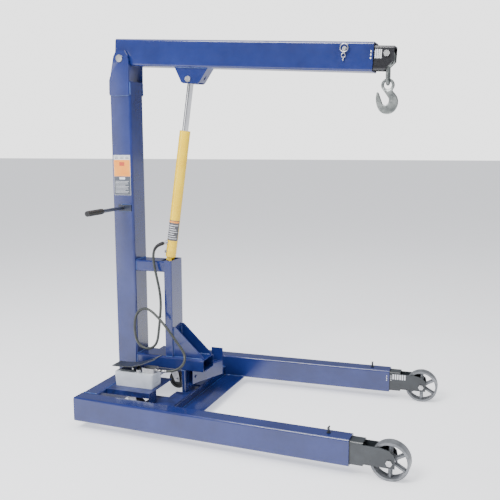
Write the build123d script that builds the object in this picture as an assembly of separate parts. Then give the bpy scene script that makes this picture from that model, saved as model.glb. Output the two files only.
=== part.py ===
from build123d import *
import math
import os

# Mobile floor crane: splayed telescopic legs, mast, telescopic boom and hydraulic ram.
# Millimetres. X forward along the boom, Y to the left, Z up from the floor.
# The model is laid out from the rear face of the frame and moved to mid length on export.

# Overall layout
REAR_TO_MIDDLE = 991.25
FRAME_WIDTH = 1178.0
FLOOR_GAP = 50.0
LEG_SPLAY = 1.9

# Leg sleeves and extensions, rectangular tube
LEG_W = 102.0
LEG_H = 146.0
LEG_WALL = 6.0
LEG_START = 2.0
LEG_END = 1676.0
EXT_W = 84.0
EXT_H = 128.0
EXT_REAR = 880.0
EXT_FRONT = 1746.0
FORK_T = 8.0
FORK_TOP = 174.0
FORK_BOTTOM = 73.0
FORK_REACH = 28.0

# Wheels
FRONT_WHEEL_R = 101.6
FRONT_WHEEL_W = 60.0
FRONT_AXLE_X = 1881.0
FRONT_AXLE_R = 10.0
SPOKES = 6
CASTER_WHEEL_R = 63.5
CASTER_WHEEL_W = 38.0
CASTER_X = 225.0
CASTER_Y = 292.0
CASTER_TRAIL = 37.0
CASTER_AXLE_R = 6.0
RUNNING = 0.05

# Cross members and base
RAIL_DEPTH = 102.0
CROSS_X0 = 465.0
CROSS_X1 = 525.0
CROSS_TOP = 109.0
STRIP_X1 = 668.0
PLATE_T = 6.0
TRAY_X1 = 398.0
DECK_STEP_X = 430.0
TRAY_Y = 385.0
DECK_X0 = 330.0
DECK_Y0 = 190.0
BEAM_BOTTOM = 257.0
BEAM_TOP = 338.0
BEAM_X1 = 618.0
BEAM_HALF = 80.0
POST_X0 = 463.0
POST_X1 = 488.0

# Mast and its ears
MAST_X0 = 8.0
MAST_X1 = 153.0
MAST_HALF = 79.5
MAST_WALL = 6.5
MAST_TOP = 2061.0
EAR_T = 12.0
PIVOT_X = 91.0
PIVOT_Z = 2198.0
PIVOT_R = 16.0

# Boom, drawn along its own axis from the pivot
BOOM_DROOP = 3.46
BOOM_X0 = -46.0
BOOM_X1 = 1554.0
BOOM_Z0 = -39.0
BOOM_Z1 = 120.5
BOOM_HALF = 66.0
BOOM_WALL = 8.0
BEXT_X0 = 850.0
BEXT_X1 = 1663.0
BEXT_Z0 = -29.0
BEXT_Z1 = 103.0
BEXT_HALF = 55.0
BEXT_WALL = 8.0
HOOK_BOLT_X = 1626.0
HOOK_BOLT_Z = 61.0
BOOM_PIN_X = 1394.0
BOOM_PIN_Z = 80.0

# Ram, drawn along its own axis from the lower pin
RAM_FOOT_X = 360.0
RAM_FOOT_Z = 925.0
RAM_HEAD_X = 528.0
RAM_HEAD_Z = 2064.0
RAM_R = 33.0
RAM_WALL = 5.0
RAM_ROD_R = 18.5
RAM_BARREL_0 = 49.5
RAM_BARREL_1 = 842.0
RAM_PIN_R = 12.5
EYE_SLACK_REAR = 25.5
EYE_SLACK_FRONT = 12.5
EYE_SLACK_AXIAL = 4.0

# Ram column, a channel standing on the base beam
COLUMN_X0 = 357.0
COLUMN_X1 = 407.0
COLUMN_HALF = 78.0
COLUMN_TOP = 956.0
COLUMN_T = 8.0
TIE_Z0 = 880.0
TIE_Z1 = 950.0
TIE_HALF = 66.0

# Pump
PUMP_X0 = 118.0
PUMP_X1 = 382.0
PUMP_Y0 = -312.0
PUMP_Y1 = -187.0
PUMP_Z0 = 196.0
PUMP_Z1 = 285.0
TREADLE_X = 235.0
TREADLE_Z = 307.0
TREADLE_Y = -250.0

# Hose
HOSE_R = 8.0
HOSE_ROUTE = [
    (341, -39, 1063), (313, -65, 1054), (294, -82, 1026), (289, -90, 985), (297, -95, 925),
    (317, -100, 850), (339, -106, 765), (347, -110, 680), (340, -113, 600), (331, -115, 520),
    (320, -116, 442), (291, -117, 402), (245, -118, 387), (199, -119, 402), (170, -120, 442),
    (160, -121, 500), (163, -122, 560), (178, -124, 612), (215, -127, 648), (262, -131, 655),
    (305, -135, 632), (360, -138, 585), (420, -141, 518), (472, -143, 455), (518, -145, 396),
    (535, -167, 357), (528, -201, 324), (498, -233, 306), (454, -250, 300), (408, -250, 300),
]
HOSE_RADIUS_SHARE = 0.45

FRAME_TOP = FLOOR_GAP + LEG_H
FRAME_MID = FLOOR_GAP + LEG_H / 2
LEG_Y = FRAME_WIDTH / 2 - LEG_W / 2
RAM_DX = RAM_HEAD_X - RAM_FOOT_X
RAM_DZ = RAM_HEAD_Z - RAM_FOOT_Z
RAM_LENGTH = math.hypot(RAM_DX, RAM_DZ)
RAM_LEAN = math.degrees(math.atan2(RAM_DX, RAM_DZ))
SIDES = {"right": -1, "left": 1}

os.makedirs("parts", exist_ok=True)
nodes = {}


# Helpers

def block(x0, x1, y0, y1, z0, z1):
    """A box given by its two corners."""
    return Pos((x0 + x1) / 2, (y0 + y1) / 2, (z0 + z1) / 2) * Box(x1 - x0, y1 - y0, z1 - z0)


def bar_y(x, z, radius, y0, y1):
    """A round bar along Y."""
    return Pos(x, (y0 + y1) / 2, z) * Rot(90, 0, 0) * Cylinder(radius, y1 - y0)


def bar_z(x, y, radius, z0, z1):
    """A round bar along Z."""
    return Pos(x, y, (z0 + z1) / 2) * Cylinder(radius, z1 - z0)


def bar_x(y, z, radius, x0, x1):
    """A round bar along X."""
    return Pos((x0 + x1) / 2, y, z) * Rot(0, 90, 0) * Cylinder(radius, x1 - x0)


def tube_section(width, height, wall, corner):
    """The cross section of a rectangular tube."""
    inner = RectangleRounded(width - 2 * wall, height - 2 * wall, corner - wall)
    return RectangleRounded(width, height, corner) - inner


def tube_x(x0, x1, y, z, width, height, wall, corner):
    """A rectangular tube along X."""
    section = tube_section(width, height, wall, corner)
    return extrude(Plane((x0, y, z), x_dir=(0, 1, 0), z_dir=(1, 0, 0)) * section, amount=x1 - x0)


def tube_y(y0, y1, x, z, width, height, wall, corner):
    """A rectangular tube along Y."""
    section = tube_section(width, height, wall, corner)
    return extrude(Plane((x, y0, z), x_dir=(1, 0, 0), z_dir=(0, 1, 0)) * section, amount=y1 - y0)


def tube_z(z0, z1, x, y, width, height, wall, corner):
    """A rectangular tube along Z."""
    section = tube_section(width, height, wall, corner)
    return extrude(Plane((x, y, z0)) * section, amount=z1 - z0)


def plate_xz(points, y0, y1, corner=0.0):
    """A plate cut to an outline in XZ, filling y0 to y1."""
    outline = Polyline(*points, close=True)
    face = make_face(Plane.XZ * outline)
    if corner:
        face = fillet(face.vertices(), corner)
    return Pos(0, y1, 0) * extrude(face, amount=y1 - y0, dir=(0, -1, 0))


def hex_bar_y(x, z, across, y0, y1):
    """A hexagonal head or nut along Y."""
    section = RegularPolygon(across / 2, 6, major_radius=False)
    return extrude(Plane((x, y0, z), x_dir=(1, 0, 0), z_dir=(0, 1, 0)) * section, amount=y1 - y0)


def on_leg(side, shape):
    """From leg coordinates, x along the leg and y across it, to the frame."""
    return Pos(0, side * LEG_Y, 0) * Rot(0, 0, side * LEG_SPLAY) * shape


def on_boom(shape):
    """From boom coordinates, x along the boom from its pivot, to the frame."""
    return Pos(PIVOT_X, 0, PIVOT_Z) * Rot(0, BOOM_DROOP, 0) * shape


def on_ram(shape):
    """From ram coordinates, z along the ram from its lower pin, to the frame."""
    return Pos(RAM_FOOT_X, 0, RAM_FOOT_Z) * Rot(0, RAM_LEAN, 0) * shape


def group(shapes):
    """Separate solids kept in one node."""
    solids = []
    for shape in shapes:
        solids.extend(shape.solids())
    return Compound(children=solids)


def save(name, shape):
    """Keep a node for export."""
    nodes[name] = shape


def between_legs(shape):
    """Trim a cross member to the inner faces of both legs."""
    for side in SIDES.values():
        outside = block(-40, LEG_END, -LEG_W / 2, 3 * LEG_W, FLOOR_GAP - 20, FRAME_TOP + 20)
        if side < 0:
            outside = Rot(180, 0, 0) * Pos(0, 0, -2 * FRAME_MID) * outside
        shape = shape - on_leg(side, outside)
    return shape


# Frame

def leg_sleeve(side):
    corner = 2 * LEG_WALL
    body = tube_x(LEG_START, LEG_END, 0, FRAME_MID, LEG_W, LEG_H, LEG_WALL, corner)
    pin_x = LEG_PIN_X
    body -= bar_z(pin_x, 0, LEG_PIN_R + 0.5, FRAME_TOP - LEG_WALL - 2, FRAME_TOP + 2)
    return on_leg(side, body)


def leg_cap(side):
    inside_w = LEG_W - 2 * LEG_WALL - 1
    inside_h = LEG_H - 2 * LEG_WALL - 1
    plate = Pos(LEG_START + PLATE_T / 2 + 1, 0, FRAME_MID) * Box(PLATE_T, inside_w, inside_h)
    return on_leg(side, plate)


LEG_PIN_X = 1556.0
LEG_PIN_R = 6.0
LEG_PIN_RISE = 30.0


def rear_rail():
    half = FRAME_WIDTH / 2
    body = tube_y(-half, half, RAIL_DEPTH / 2, FRAME_MID, RAIL_DEPTH, LEG_H, LEG_WALL, 12)
    return between_legs(body)


def front_cross_tube():
    half = FRAME_WIDTH / 2
    width = CROSS_X1 - CROSS_X0
    height = CROSS_TOP - FLOOR_GAP
    mid_x = (CROSS_X0 + CROSS_X1) / 2
    mid_z = (FLOOR_GAP + CROSS_TOP) / 2
    return between_legs(tube_y(-half, half, mid_x, mid_z, width, height, 5, 9))


def front_cross_plate():
    half = FRAME_WIDTH / 2
    return between_legs(block(CROSS_X1, STRIP_X1, -half, half, FLOOR_GAP, FLOOR_GAP + PLATE_T))


def deck_plate(side):
    y0, y1 = sorted((side * BEAM_HALF, side * FRAME_WIDTH / 2))
    front = block(DECK_STEP_X, CROSS_X1, y0, y1, CROSS_TOP, CROSS_TOP + PLATE_T)
    y0, y1 = sorted((side * DECK_Y0, side * FRAME_WIDTH / 2))
    rear = block(DECK_X0, DECK_STEP_X, y0, y1, CROSS_TOP, CROSS_TOP + PLATE_T)
    return between_legs(front + rear)


def tray_plate(side):
    y0, y1 = sorted((side * BEAM_HALF, side * TRAY_Y))
    plate = block(RAIL_DEPTH, TRAY_X1, y0, y1, FRAME_TOP - PLATE_T, FRAME_TOP)
    lip_y = side * (TRAY_Y - PLATE_T / 2)
    lip = block(RAIL_DEPTH, TRAY_X1, lip_y - PLATE_T / 2, lip_y + PLATE_T / 2, FRAME_TOP - 31, FRAME_TOP)
    return plate + lip


def tray_post(side):
    """Flat post that carries the outer front corner of a tray from the deck plate."""
    y0, y1 = sorted((side * (TRAY_Y - 90), side * (TRAY_Y - 7)))
    return block(TRAY_X1 - PLATE_T, TRAY_X1, y0, y1, CROSS_TOP + PLATE_T, FRAME_TOP - PLATE_T)


def mast_foot_plate():
    return block(0, MAST_X1 + 7, -BEAM_HALF - 8, BEAM_HALF + 8, FRAME_TOP, FRAME_TOP + 12)


def mast_tube():
    depth = MAST_X1 - MAST_X0
    mid = (MAST_X0 + MAST_X1) / 2
    body = tube_z(FRAME_TOP + 12, MAST_TOP, mid, 0, depth, 2 * MAST_HALF, MAST_WALL, 13)
    cap = block(MAST_X0 + 8, MAST_X1 - 8, -MAST_HALF + 8, MAST_HALF - 8, MAST_TOP - 7, MAST_TOP - 1)
    return body, cap


def ear_outline():
    return [(16, 1977), (12, 1990), (14, 2071), (25, 2101), (38, 2165), (48, 2212), (66, 2242),
            (124, 2246), (145, 2214), (152, 2183), (148, 1977)]


def mast_ear(side):
    y0, y1 = sorted((side * MAST_HALF, side * (MAST_HALF + EAR_T)))
    plate = plate_xz(ear_outline(), y0, y1, 5)
    return plate - bar_y(PIVOT_X, PIVOT_Z, PIVOT_R, y0 - 1, y1 + 1)


def pivot_spacer(side):
    y0, y1 = sorted((side * (BOOM_HALF + 0.3), side * MAST_HALF))
    ring = bar_y(PIVOT_X, PIVOT_Z, 29, y0, y1)
    return ring - bar_y(PIVOT_X, PIVOT_Z, PIVOT_R, y0 - 1, y1 + 1)


def boom_pivot_pin():
    reach = MAST_HALF + EAR_T
    pin = bar_y(PIVOT_X, PIVOT_Z, PIVOT_R - RUNNING, -reach, reach + 12)
    head = bar_y(PIVOT_X, PIVOT_Z, 22, -reach - 8, -reach)
    collar = bar_y(PIVOT_X, PIVOT_Z, 22, reach, reach + 6) - bar_y(PIVOT_X, PIVOT_Z, PIVOT_R, reach - 1, reach + 7)
    return pin + head, collar


def base_beam():
    height = BEAM_TOP - BEAM_BOTTOM
    mid = (BEAM_TOP + BEAM_BOTTOM) / 2
    return tube_x(MAST_X1, BEAM_X1, 0, mid, 2 * BEAM_HALF, height, 6, 12)


def beam_post():
    width = POST_X1 - POST_X0
    mid = (POST_X1 + POST_X0) / 2
    return tube_z(CROSS_TOP, BEAM_BOTTOM, mid, 0, width, 2 * BEAM_HALF - 4, 5, 10)


def ram_column():
    outer = block(COLUMN_X0, COLUMN_X1, -COLUMN_HALF, COLUMN_HALF, BEAM_TOP, COLUMN_TOP)
    hollow = block(COLUMN_X0 - 1, COLUMN_X1 - COLUMN_T, -COLUMN_HALF + COLUMN_T, COLUMN_HALF - COLUMN_T,
                   BEAM_TOP - 1, COLUMN_TOP + 1)
    channel = outer - hollow
    vertical = channel.edges().filter_by(Axis.Z)
    outside = [e for e in vertical if e.center().X > COLUMN_X1 - 1]
    return fillet(outside, 7)


def column_gusset(side):
    y0, y1 = sorted((side * 56, side * 64))
    points = [(COLUMN_X1, BEAM_TOP), (COLUMN_X1, 529), (COLUMN_X1 + 14, 529), (612, BEAM_TOP + 10), (612, BEAM_TOP)]
    return plate_xz(points, y0, y1)


def tie_tube():
    mid = (TIE_Z0 + TIE_Z1) / 2
    body = tube_x(MAST_X1, COLUMN_X0, 0, mid, 2 * TIE_HALF, TIE_Z1 - TIE_Z0, 5, 9)
    notch = block(COLUMN_X0 - 42, COLUMN_X0 + 1, -40, 40, TIE_Z1 - 8, TIE_Z1 + 1)
    return body - notch


def ram_base_lug(side):
    y0, y1 = sorted((side * 21, side * 31))
    x1 = COLUMN_X1 - COLUMN_T
    lug = block(RAM_FOOT_X, x1, y0, y1, RAM_FOOT_Z - 24, RAM_FOOT_Z + 18)
    lug += bar_y(RAM_FOOT_X, RAM_FOOT_Z, 22, y0, y1)
    lug += block(RAM_FOOT_X, x1, y0, y1, RAM_FOOT_Z - 90, RAM_FOOT_Z - 20)
    return lug - bar_y(RAM_FOOT_X, RAM_FOOT_Z, RAM_PIN_R, y0 - 1, y1 + 1)


def ram_base_pin():
    pin = bar_y(RAM_FOOT_X, RAM_FOOT_Z, RAM_PIN_R - RUNNING, -36, 36)
    clips = [bar_y(RAM_FOOT_X, RAM_FOOT_Z, 16, y, y + 3) - bar_y(RAM_FOOT_X, RAM_FOOT_Z, RAM_PIN_R, y - 1, y + 4)
             for y in (-34.5, 31.5)]
    return [pin] + clips


ARM_PLACE = Pos(509, -38.5, 0) * Rot(0, 0, 71)


def brace_arm():
    """Arm bolted under the front of the beam, reaching out to the left, with an upright end plate."""
    length = 286.0
    thickness = 40.0
    z0 = 156.0
    arm = tube_x(0, length, 0, (z0 + BEAM_BOTTOM) / 2, thickness, BEAM_BOTTOM - z0, 5, 8)
    return ARM_PLACE * arm


def brace_upright():
    """Upright plate at the end of the brace arm."""
    return block(548, 626, 213, 221, BEAM_BOTTOM, BEAM_TOP)


def brace_bolts():
    heads = []
    for along in (32.0,):
        head = bar_y(along, 205, 9, -27, -20)
        heads.append(ARM_PLACE * head)
    return heads


def push_handle():
    bracket = block(50, 140, -MAST_HALF - 8, -MAST_HALF, 1262, 1302)
    bar = bar_y(80, 1281, 11, -478, -MAST_HALF - 8)
    return bracket + bar


def push_grip():
    grip = bar_y(80, 1281, 16.5, -490, -330)
    return grip - bar_y(80, 1281, 11, -478, -329)


def rating_plate():
    return block(21, 139, -MAST_HALF - 1.2, -MAST_HALF, 1362, 1612)


# Wheels

def front_wheel():
    """Cast wheel with T-section spokes, axis along Y, centred on the origin."""
    half = FRONT_WHEEL_W / 2
    rim = bar_y(0, 0, FRONT_WHEEL_R, -half, half) - bar_y(0, 0, FRONT_WHEEL_R - 13, -half - 1, half + 1)
    hub = bar_y(0, 0, 27, -half - 2, half + 2)
    wheel = rim + hub
    for index in range(SPOKES):
        web = Pos(57, 0, 0) * Box(70, 30, 9)
        flange = Pos(57, 0, 0) * Box(70, 8, 22)
        wheel += Rot(0, 360 / SPOKES * index + 30, 0) * (web + flange)
    return wheel - bar_y(0, 0, FRONT_AXLE_R + RUNNING, -half - 3, half + 3)


def place_front(side, shape):
    return on_leg(side, Pos(FRONT_AXLE_X, 0, FRONT_WHEEL_R) * shape)


def leg_extension(side):
    half = EXT_W / 2
    mid = FRAME_MID
    tube = tube_x(EXT_REAR, EXT_FRONT, 0, mid, EXT_W, EXT_H, 6, 11)
    reach = FRONT_AXLE_X + FORK_REACH
    points = [(EXT_FRONT, FORK_BOTTOM), (EXT_FRONT, FORK_TOP), (1838, FORK_TOP), (1880, 164), (reach - 5, 143),
              (reach, 118), (reach, FORK_BOTTOM)]
    plates = []
    for hand in SIDES.values():
        y0, y1 = sorted((hand * (half - FORK_T), hand * half))
        plate = plate_xz(points, y0, y1)
        plate -= bar_y(FRONT_AXLE_X, FRONT_WHEEL_R, FRONT_AXLE_R, y0 - 1, y1 + 1)
        plates.append(on_leg(side, plate))
    return group([on_leg(side, tube)] + plates)


def front_axle(side):
    half = EXT_W / 2
    shaft = bar_y(0, 0, FRONT_AXLE_R - RUNNING, -half, half + 14)
    head = hex_bar_y(0, 0, 30, -half - 8, -half)
    nut = hex_bar_y(0, 0, 30, half, half + 10) - bar_y(0, 0, FRONT_AXLE_R, half - 1, half + 11)
    pieces = [shaft + head, nut]
    if side > 0:
        pieces = [Rot(0, 0, 180) * piece for piece in pieces]
    return group([place_front(side, piece) for piece in pieces])


def leg_lock_pin(side):
    top = FRAME_TOP
    shank = bar_z(LEG_PIN_X, 0, LEG_PIN_R, top - LEG_WALL + 0.5, top + LEG_PIN_RISE)
    collar = bar_z(LEG_PIN_X, 0, 11, top + 0.3, top + 5)
    grip = bar_y(LEG_PIN_X, top + LEG_PIN_RISE, 5, -14, 14)
    return on_leg(side, shank + collar + grip)


# Casters

def caster_race(side):
    x, y = CASTER_X, side * CASTER_Y
    top = FRAME_TOP - PLATE_T
    plate = block(x - 50, x + 50, y - 46, y + 46, top - 6, top)
    plate += bar_z(x, y, 32, top - 14, top - 6)
    return plate


def caster_fork(side):
    x, y = CASTER_X, side * CASTER_Y
    top = FRAME_TOP - PLATE_T - 14.3
    axle_x = x + CASTER_TRAIL
    inner = CASTER_WHEEL_W / 2 + 2
    fork = bar_z(x, y, 33, top - 8, top)
    crown = block(x - 30, x + 36, y - inner - 5, y + inner + 5, top - 14, top - 6)
    fork += crown
    outline = [(x - 30, top - 14), (x + 36, top - 14), (axle_x + 17, CASTER_WHEEL_R + 16),
               (axle_x + 17, CASTER_WHEEL_R - 14), (axle_x - 15, CASTER_WHEEL_R - 14)]
    for hand in SIDES.values():
        y0, y1 = sorted((y + hand * inner, y + hand * (inner + 5)))
        fork += plate_xz(outline, y0, y1)
    fork -= bar_y(axle_x, CASTER_WHEEL_R, CASTER_AXLE_R, y - 60, y + 60)
    reach = inner + 5
    axle = bar_y(axle_x, CASTER_WHEEL_R, CASTER_AXLE_R - RUNNING, y - reach - 6, y + reach + 8)
    axle += hex_bar_y(axle_x, CASTER_WHEEL_R, 19, y - reach - 7, y - reach)
    nut = hex_bar_y(axle_x, CASTER_WHEEL_R, 19, y + reach, y + reach + 7)
    nut -= bar_y(axle_x, CASTER_WHEEL_R, CASTER_AXLE_R, y + reach - 1, y + reach + 8)
    return group([fork, axle, nut])


def caster_wheel(side):
    x, y = CASTER_X + CASTER_TRAIL, side * CASTER_Y
    half = CASTER_WHEEL_W / 2
    tread = bar_y(x, CASTER_WHEEL_R, CASTER_WHEEL_R, y - half, y + half)
    edges = tread.edges().filter_by(GeomType.CIRCLE)
    tread = fillet(edges, 4)
    for hand in SIDES.values():
        y0, y1 = sorted((y + hand * (half - 7), y + hand * (half + 1)))
        ring = bar_y(x, CASTER_WHEEL_R, 46, y0, y1) - bar_y(x, CASTER_WHEEL_R, 18, y0 - 1, y1 + 1)
        tread -= ring
    tread += bar_y(x, CASTER_WHEEL_R, 16, y - half - 1.5, y + half + 1.5)
    return tread - bar_y(x, CASTER_WHEEL_R, CASTER_AXLE_R + RUNNING, y - 30, y + 30)


# Boom

def boom_tube():
    mid = (BOOM_Z0 + BOOM_Z1) / 2
    height = BOOM_Z1 - BOOM_Z0
    body = tube_x(BOOM_X0, BOOM_X1, 0, mid, 2 * BOOM_HALF, height, BOOM_WALL, 14)
    wedge = plate_xz([(BOOM_X0 - 5, -60), (BOOM_X0 - 5, -8), (20, -30), (84, -42), (84, -60)], -90, 90)
    body -= wedge
    body -= bar_y(0, 0, 22, -80, 80)
    body -= bar_y(BOOM_PIN_X, BOOM_PIN_Z, 8.3, -80, -40)
    return on_boom(body)


def boom_pivot_bush():
    body = bar_y(0, 0, 22, -BOOM_HALF, BOOM_HALF) - bar_y(0, 0, PIVOT_R, -BOOM_HALF - 1, BOOM_HALF + 1)
    return on_boom(body)


RAM_HEAD_LOCAL = Vector(RAM_HEAD_X - PIVOT_X, 0, RAM_HEAD_Z - PIVOT_Z).rotate(Axis.Y, -BOOM_DROOP)
HEAD_X = RAM_HEAD_LOCAL.X
HEAD_Z = RAM_HEAD_LOCAL.Z
BRACKET_Y0 = 35.0
BRACKET_Y1 = 45.0


def ram_bracket():
    bottom = HEAD_Z - 25
    pieces = []
    for side in SIDES.values():
        y0, y1 = sorted((side * BRACKET_Y0, side * BRACKET_Y1))
        plate = plate_xz([(352, BOOM_Z0), (400, bottom + 6), (412, bottom), (508, bottom), (518, bottom + 6),
                          (571, BOOM_Z0)], y0, y1)
        plate -= bar_y(HEAD_X, HEAD_Z, RAM_PIN_R, y0 - 1, y1 + 1)
        pieces.append(on_boom(plate))
    web = plate_xz([(571, BOOM_Z0), (518, bottom + 6), (510, bottom + 6), (561, BOOM_Z0)], -BRACKET_Y0, BRACKET_Y0)
    web -= Pos(533, 0, -97) * Rot(0, 60, 0) * Cylinder(9, 60)
    pieces.append(on_boom(web))
    return group(pieces)


def ram_head_pin():
    pin = bar_y(HEAD_X, HEAD_Z, RAM_PIN_R - RUNNING, -BRACKET_Y1, BRACKET_Y1 + 10)
    head = bar_y(HEAD_X, HEAD_Z, 18, -BRACKET_Y1 - 7, -BRACKET_Y1)
    ring = bar_y(HEAD_X, HEAD_Z, 17, BRACKET_Y1, BRACKET_Y1 + 4)
    ring -= bar_y(HEAD_X, HEAD_Z, RAM_PIN_R, BRACKET_Y1 - 1, BRACKET_Y1 + 5)
    return group([on_boom(pin + head), on_boom(ring)])


def boom_extension():
    mid = (BEXT_Z0 + BEXT_Z1) / 2
    body = tube_x(BEXT_X0, BEXT_X1, 0, mid, 2 * BEXT_HALF, BEXT_Z1 - BEXT_Z0, BEXT_WALL, 13)
    nose = plate_xz([(1616, BEXT_Z0 - 5), (1622, -20), (BEXT_X1 - 1, 22), (BEXT_X1 + 5, 22),
                     (BEXT_X1 + 5, BEXT_Z0 - 5)], -70, 70)
    slot = block(1515, 1700, -42, 42, BEXT_Z0 - 5, BEXT_Z0 + BEXT_WALL + 6)
    body = body - nose - slot
    body -= bar_y(HOOK_BOLT_X, HOOK_BOLT_Z, 10.2, -70, 70)
    return on_boom(body)


def hook_bolt():
    reach = BEXT_HALF
    shaft = bar_y(HOOK_BOLT_X, HOOK_BOLT_Z, 10, -reach, reach + 20)
    head = hex_bar_y(HOOK_BOLT_X, HOOK_BOLT_Z, 32, -reach - 12, -reach)
    nut = hex_bar_y(HOOK_BOLT_X, HOOK_BOLT_Z, 32, reach, reach + 16)
    nut -= bar_y(HOOK_BOLT_X, HOOK_BOLT_Z, 10, reach - 1, reach + 17)
    return group([on_boom(shaft + head), on_boom(nut)])


def boom_lock_pin():
    wall = BOOM_HALF
    shank = bar_y(BOOM_PIN_X, BOOM_PIN_Z, 8, -wall - 14, -wall + BOOM_WALL - 1)
    collar = bar_y(BOOM_PIN_X, BOOM_PIN_Z, 13, -wall - 6, -wall - 0.4)
    ring = Pos(BOOM_PIN_X, -wall - 14, BOOM_PIN_Z + 4) * Rot(90, 0, 0) * Torus(22, 3)
    clip = Pos(BOOM_PIN_X - 2, -wall - 10, BOOM_PIN_Z - 36) * Rot(90, 0, 0) * Torus(11, 2.5)
    tail = block(BOOM_PIN_X - 5, BOOM_PIN_X + 1, -wall - 12.5, -wall - 7.5, BOOM_PIN_Z - 66, BOOM_PIN_Z - 45)
    tie = block(BOOM_PIN_X - 6, BOOM_PIN_X + 6, -wall - 16, -wall - 7.5, BOOM_PIN_Z - 28, BOOM_PIN_Z - 12)
    return on_boom(shank + collar + ring + clip + tail + tie)


# Hook set, hanging plumb under the end bolt

BOLT_WORLD = on_boom(Pos(HOOK_BOLT_X, 0, HOOK_BOLT_Z) * Sphere(1)).center()
HANG_X = BOLT_WORLD.X
HANG_Z = BOLT_WORLD.Z
LINK_R = 31.0
LINK_BAR = 7.0
LINK_STRAIGHT = 18.0
SHACKLE_BAR = 10.0
SHACKLE_HALF = 20.0
HOOK_T = 16.0


def load_link():
    top_z = HANG_Z + 11 + LINK_BAR - LINK_R
    low_z = top_z - LINK_STRAIGHT
    top = Pos(HANG_X, 0, top_z) * Rot(90, 0, 0) * Torus(LINK_R, LINK_BAR)
    low = Pos(HANG_X, 0, low_z) * Rot(90, 0, 0) * Torus(LINK_R, LINK_BAR)
    upper = top & block(HANG_X - 60, HANG_X + 60, -20, 20, top_z, top_z + 60)
    lower = low & block(HANG_X - 60, HANG_X + 60, -20, 20, low_z - 60, low_z)
    link = upper + lower
    for hand in SIDES.values():
        link += bar_z(HANG_X + hand * LINK_R, 0, LINK_BAR, low_z, top_z)
    return link


LINK_FLOOR = HANG_Z + 11 + LINK_BAR - 2 * LINK_R - LINK_STRAIGHT + LINK_BAR
SHACKLE_PIN_Z = LINK_FLOOR + 8.6
BOW_Z = SHACKLE_PIN_Z - 112.0
EYE_Z = BOW_Z - 6.5


def shackle():
    arc_z = BOW_Z + SHACKLE_HALF
    bow = Pos(HANG_X, 0, arc_z) * Rot(0, 90, 0) * Torus(SHACKLE_HALF, SHACKLE_BAR)
    bow = bow & block(HANG_X - 40, HANG_X + 40, -60, 60, arc_z - 60, arc_z)
    for hand in SIDES.values():
        bow += bar_z(HANG_X, hand * SHACKLE_HALF, SHACKLE_BAR, arc_z, SHACKLE_PIN_Z)
        y0, y1 = sorted((hand * 12, hand * 28))
        bow += bar_y(HANG_X, SHACKLE_PIN_Z, 21, y0, y1)
    return bow - bar_y(HANG_X, SHACKLE_PIN_Z, 8.05, -60, 60)


def shackle_pin():
    pin = bar_y(HANG_X, SHACKLE_PIN_Z, 8, -30, 38)
    pin += bar_y(HANG_X, SHACKLE_PIN_Z, 13, -36, -30)
    nut = hex_bar_y(HANG_X, SHACKLE_PIN_Z, 24, 30, 38) - bar_y(HANG_X, SHACKLE_PIN_Z, 8, 29, 39)
    return group([pin, nut])


def hook():
    """Eye hook: a ring on top, a shank to the right and a point rising on the left."""
    x, z = HANG_X, EYE_Z
    ring = bar_y(x, z, 37, -HOOK_T / 2, HOOK_T / 2) - bar_y(x, z, 21.5, -HOOK_T, HOOK_T)
    outline = [Line((x - 30, z - 20), (x + 3, z - 66)),
               ThreePointArc((x + 3, z - 66), (x + 6, z - 92), (x - 9, z - 108)),
               ThreePointArc((x - 9, z - 108), (x - 24, z - 104), (x - 32, z - 90)),
               Line((x - 32, z - 90), (x - 50, z - 42)),
               ThreePointArc((x - 50, z - 42), (x - 57, z - 37), (x - 61, z - 45)),
               ThreePointArc((x - 61, z - 45), (x - 64, z - 84), (x - 55, z - 118)),
               ThreePointArc((x - 55, z - 118), (x - 8, z - 157), (x + 46, z - 130)),
               ThreePointArc((x + 46, z - 130), (x + 57, z - 85), (x + 34, z - 41)),
               Line((x + 34, z - 41), (x + 24, z - 26)),
               Line((x + 24, z - 26), (x - 30, z - 20))]
    face = make_face(Plane.XZ * Wire(outline))
    body = Pos(0, 11, 0) * extrude(face, amount=22, dir=(0, -1, 0))
    body -= bar_y(x, z, 30, -20, -HOOK_T / 2) + bar_y(x, z, 30, HOOK_T / 2, 20)
    body -= bar_y(x, z, 21.5, -20, 20)
    return ring + body


# Ram

def ram_barrel():
    tube = Pos(0, 0, RAM_BARREL_0 + 14) * Cylinder(
        RAM_R, RAM_BARREL_1 - RAM_BARREL_0 - 32, align=(Align.CENTER, Align.CENTER, Align.MIN))
    tube -= Pos(0, 0, RAM_BARREL_0) * Cylinder(
        RAM_R - RAM_WALL, RAM_BARREL_1, align=(Align.CENTER, Align.CENTER, Align.MIN))
    return on_ram(tube)


def ram_gland():
    bottom = RAM_BARREL_1 - 18
    gland = Pos(0, 0, bottom) * Cylinder(RAM_R, 18, align=(Align.CENTER, Align.CENTER, Align.MIN))
    gland += Pos(0, 0, bottom - 30) * Cylinder(
        RAM_R - RAM_WALL, 30, align=(Align.CENTER, Align.CENTER, Align.MIN))
    gland -= Pos(0, 0, bottom - 40) * Cylinder(
        RAM_ROD_R + RUNNING, 90, align=(Align.CENTER, Align.CENTER, Align.MIN))
    return on_ram(gland)


def ram_base_tang():
    head = Pos(0, 0, RAM_BARREL_0) * Cylinder(RAM_R, 14, align=(Align.CENTER, Align.CENTER, Align.MIN))
    tang = block(-18, 18, -20.5, 20.5, 0, RAM_BARREL_0)
    tang += bar_y(0, 0, 18, -20.5, 20.5)
    tang -= bar_y(0, 0, RAM_PIN_R, -30, 30)
    return on_ram(head + tang)


PORT_S = 140.0
PORT_ANGLE = 225.0


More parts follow.
